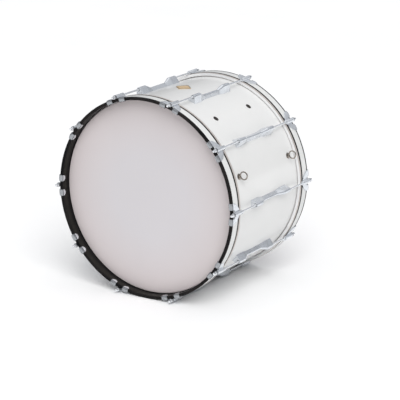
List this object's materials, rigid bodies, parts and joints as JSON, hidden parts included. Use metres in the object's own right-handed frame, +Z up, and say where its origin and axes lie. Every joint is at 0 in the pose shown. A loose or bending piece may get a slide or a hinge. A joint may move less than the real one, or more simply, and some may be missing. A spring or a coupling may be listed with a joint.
{
  "type": "bass drum",
  "caption": "Marching bass drum resting on its wooden hoops: white covered shell, two film heads, claws, key rods, double-ended lugs and strap eyes.",
  "frame": {"origin": "on the floor under the middle of the drum, where the hoops rest", "axes": "+Y along the drum's axis from the front head to the rear head, +Z up, strap eyes on the +X side"},
  "size_m": [0.6022, 0.444, 0.58],
  "materials": {
    "ply": "dark sealed plywood",
    "covering": "white satin gloss",
    "head_film": "smooth white film",
    "flesh_aluminium": "satin",
    "hoop_lacquer": "black gloss lacquer",
    "inlay": "white gloss",
    "chrome": "chromed casting",
    "rod_steel": "chromed steel",
    "eye_plating": "nickel plated",
    "steel": "zinc plated",
    "insert_steel": "turned",
    "badge_metal": "satin bronze, plain"
  },
  "bodies": {
    "shell_body": {"shell": "ply", "shell_covering": "covering", "lug_01": "chrome", "lug_02": "chrome", "lug_03": "chrome", "lug_04": "chrome", "lug_05": "chrome", "lug_06": "chrome", "lug_07": "chrome", "lug_08": "chrome", "lug_09": "chrome", "lug_10": "chrome", "lug_inserts": "insert_steel", "lug_screws": "steel", "lug_screw_washers": "steel", "strap_eye_flanges": "eye_plating", "strap_eye_washers": "steel", "strap_eye_nuts": "steel", "badge": "badge_metal", "badge_pins": "steel", "front_head": "head_film", "front_strap_eye": "eye_plating", "rear_head": "head_film", "rear_strap_eye": "eye_plating"},
    "front_hoop_body": {"front_flesh_hoop": "flesh_aluminium", "front_hoop": "hoop_lacquer", "front_hoop_inlay": "inlay", "front_claws": "chrome", "front_rod_washers": "steel"},
    "front_rod_01_body": {"front_rod_01": "rod_steel"},
    "front_rod_02_body": {"front_rod_02": "rod_steel"},
    "front_rod_03_body": {"front_rod_03": "rod_steel"},
    "front_rod_04_body": {"front_rod_04": "rod_steel"},
    "front_rod_05_body": {"front_rod_05": "rod_steel"},
    "front_rod_06_body": {"front_rod_06": "rod_steel"},
    "front_rod_07_body": {"front_rod_07": "rod_steel"},
    "front_rod_08_body": {"front_rod_08": "rod_steel"},
    "front_rod_09_body": {"front_rod_09": "rod_steel"},
    "front_rod_10_body": {"front_rod_10": "rod_steel"},
    "rear_hoop_body": {"rear_flesh_hoop": "flesh_aluminium", "rear_hoop": "hoop_lacquer", "rear_hoop_inlay": "inlay", "rear_claws": "chrome", "rear_rod_washers": "steel"},
    "rear_rod_01_body": {"rear_rod_01": "rod_steel"},
    "rear_rod_02_body": {"rear_rod_02": "rod_steel"},
    "rear_rod_03_body": {"rear_rod_03": "rod_steel"},
    "rear_rod_04_body": {"rear_rod_04": "rod_steel"},
    "rear_rod_05_body": {"rear_rod_05": "rod_steel"},
    "rear_rod_06_body": {"rear_rod_06": "rod_steel"},
    "rear_rod_07_body": {"rear_rod_07": "rod_steel"},
    "rear_rod_08_body": {"rear_rod_08": "rod_steel"},
    "rear_rod_09_body": {"rear_rod_09": "rod_steel"},
    "rear_rod_10_body": {"rear_rod_10": "rod_steel"}
  },
  "joints": [
    {"name": "front_hoop_tuning", "type": "slide", "parent": "shell_body", "child": "front_hoop_body", "axis": [0, 1, 0], "range_m": [-0.002, 0.002]},
    {"name": "front_rod_01_turn", "type": "hinge", "parent": "front_hoop_body", "child": "front_rod_01_body", "pos_m": [0.09104, -0.15, 0.57018], "axis": [0, 1, 0], "range_deg": [-700, 700]},
    {"name": "front_rod_02_turn", "type": "hinge", "parent": "front_hoop_body", "child": "front_rod_02_body", "pos_m": [0.23834, -0.15, 0.46316], "axis": [0, 1, 0], "range_deg": [-700, 700]},
    {"name": "front_rod_03_turn", "type": "hinge", "parent": "front_hoop_body", "child": "front_rod_03_body", "pos_m": [0.2946, -0.15, 0.29], "axis": [0, 1, 0], "range_deg": [-700, 700]},
    {"name": "front_rod_04_turn", "type": "hinge", "parent": "front_hoop_body", "child": "front_rod_04_body", "pos_m": [0.23834, -0.15, 0.11684], "axis": [0, 1, 0], "range_deg": [-700, 700]},
    {"name": "front_rod_05_turn", "type": "hinge", "parent": "front_hoop_body", "child": "front_rod_05_body", "pos_m": [0.09104, -0.15, 0.00982], "axis": [0, 1, 0], "range_deg": [-700, 700]},
    {"name": "front_rod_06_turn", "type": "hinge", "parent": "front_hoop_body", "child": "front_rod_06_body", "pos_m": [-0.09104, -0.15, 0.00982], "axis": [0, 1, 0], "range_deg": [-700, 700]},
    {"name": "front_rod_07_turn", "type": "hinge", "parent": "front_hoop_body", "child": "front_rod_07_body", "pos_m": [-0.23834, -0.15, 0.11684], "axis": [0, 1, 0], "range_deg": [-700, 700]},
    {"name": "front_rod_08_turn", "type": "hinge", "parent": "front_hoop_body", "child": "front_rod_08_body", "pos_m": [-0.2946, -0.15, 0.29], "axis": [0, 1, 0], "range_deg": [-700, 700]},
    {"name": "front_rod_09_turn", "type": "hinge", "parent": "front_hoop_body", "child": "front_rod_09_body", "pos_m": [-0.23834, -0.15, 0.46316], "axis": [0, 1, 0], "range_deg": [-700, 700]},
    {"name": "front_rod_10_turn", "type": "hinge", "parent": "front_hoop_body", "child": "front_rod_10_body", "pos_m": [-0.09104, -0.15, 0.57018], "axis": [0, 1, 0], "range_deg": [-700, 700]},
    {"name": "rear_hoop_tuning", "type": "slide", "parent": "shell_body", "child": "rear_hoop_body", "axis": [0, -1, 0], "range_m": [-0.002, 0.002]},
    {"name": "rear_rod_01_turn", "type": "hinge", "parent": "rear_hoop_body", "child": "rear_rod_01_body", "pos_m": [0.09104, 0.15, 0.57018], "axis": [0, -1, 0], "range_deg": [-700, 700]},
    {"name": "rear_rod_02_turn", "type": "hinge", "parent": "rear_hoop_body", "child": "rear_rod_02_body", "pos_m": [0.23834, 0.15, 0.46316], "axis": [0, -1, 0], "range_deg": [-700, 700]},
    {"name": "rear_rod_03_turn", "type": "hinge", "parent": "rear_hoop_body", "child": "rear_rod_03_body", "pos_m": [0.2946, 0.15, 0.29], "axis": [0, -1, 0], "range_deg": [-700, 700]},
    {"name": "rear_rod_04_turn", "type": "hinge", "parent": "rear_hoop_body", "child": "rear_rod_04_body", "pos_m": [0.23834, 0.15, 0.11684], "axis": [0, -1, 0], "range_deg": [-700, 700]},
    {"name": "rear_rod_05_turn", "type": "hinge", "parent": "rear_hoop_body", "child": "rear_rod_05_body", "pos_m": [0.09104, 0.15, 0.00982], "axis": [0, -1, 0], "range_deg": [-700, 700]},
    {"name": "rear_rod_06_turn", "type": "hinge", "parent": "rear_hoop_body", "child": "rear_rod_06_body", "pos_m": [-0.09104, 0.15, 0.00982], "axis": [0, -1, 0], "range_deg": [-700, 700]},
    {"name": "rear_rod_07_turn", "type": "hinge", "parent": "rear_hoop_body", "child": "rear_rod_07_body", "pos_m": [-0.23834, 0.15, 0.11684], "axis": [0, -1, 0], "range_deg": [-700, 700]},
    {"name": "rear_rod_08_turn", "type": "hinge", "parent": "rear_hoop_body", "child": "rear_rod_08_body", "pos_m": [-0.2946, 0.15, 0.29], "axis": [0, -1, 0], "range_deg": [-700, 700]},
    {"name": "rear_rod_09_turn", "type": "hinge", "parent": "rear_hoop_body", "child": "rear_rod_09_body", "pos_m": [-0.23834, 0.15, 0.46316], "axis": [0, -1, 0], "range_deg": [-700, 700]},
    {"name": "rear_rod_10_turn", "type": "hinge", "parent": "rear_hoop_body", "child": "rear_rod_10_body", "pos_m": [-0.09104, 0.15, 0.57018], "axis": [0, -1, 0], "range_deg": [-700, 700]}
  ],
  "couplings": [
    {"joint": "front_rod_01_turn", "follows": "front_hoop_tuning", "rad_per_m": 5936.9},
    {"joint": "front_rod_02_turn", "follows": "front_hoop_tuning", "rad_per_m": 5936.9},
    {"joint": "front_rod_03_turn", "follows": "front_hoop_tuning", "rad_per_m": 5936.9},
    {"joint": "front_rod_04_turn", "follows": "front_hoop_tuning", "rad_per_m": 5936.9},
    {"joint": "front_rod_05_turn", "follows": "front_hoop_tuning", "rad_per_m": 5936.9},
    {"joint": "front_rod_06_turn", "follows": "front_hoop_tuning", "rad_per_m": 5936.9},
    {"joint": "front_rod_07_turn", "follows": "front_hoop_tuning", "rad_per_m": 5936.9},
    {"joint": "front_rod_08_turn", "follows": "front_hoop_tuning", "rad_per_m": 5936.9},
    {"joint": "front_rod_09_turn", "follows": "front_hoop_tuning", "rad_per_m": 5936.9},
    {"joint": "front_rod_10_turn", "follows": "front_hoop_tuning", "rad_per_m": 5936.9},
    {"joint": "rear_rod_01_turn", "follows": "rear_hoop_tuning", "rad_per_m": 5936.9},
    {"joint": "rear_rod_02_turn", "follows": "rear_hoop_tuning", "rad_per_m": 5936.9},
    {"joint": "rear_rod_03_turn", "follows": "rear_hoop_tuning", "rad_per_m": 5936.9},
    {"joint": "rear_rod_04_turn", "follows": "rear_hoop_tuning", "rad_per_m": 5936.9},
    {"joint": "rear_rod_05_turn", "follows": "rear_hoop_tuning", "rad_per_m": 5936.9},
    {"joint": "rear_rod_06_turn", "follows": "rear_hoop_tuning", "rad_per_m": 5936.9},
    {"joint": "rear_rod_07_turn", "follows": "rear_hoop_tuning", "rad_per_m": 5936.9},
    {"joint": "rear_rod_08_turn", "follows": "rear_hoop_tuning", "rad_per_m": 5936.9},
    {"joint": "rear_rod_09_turn", "follows": "rear_hoop_tuning", "rad_per_m": 5936.9},
    {"joint": "rear_rod_10_turn", "follows": "rear_hoop_tuning", "rad_per_m": 5936.9}
  ]
}
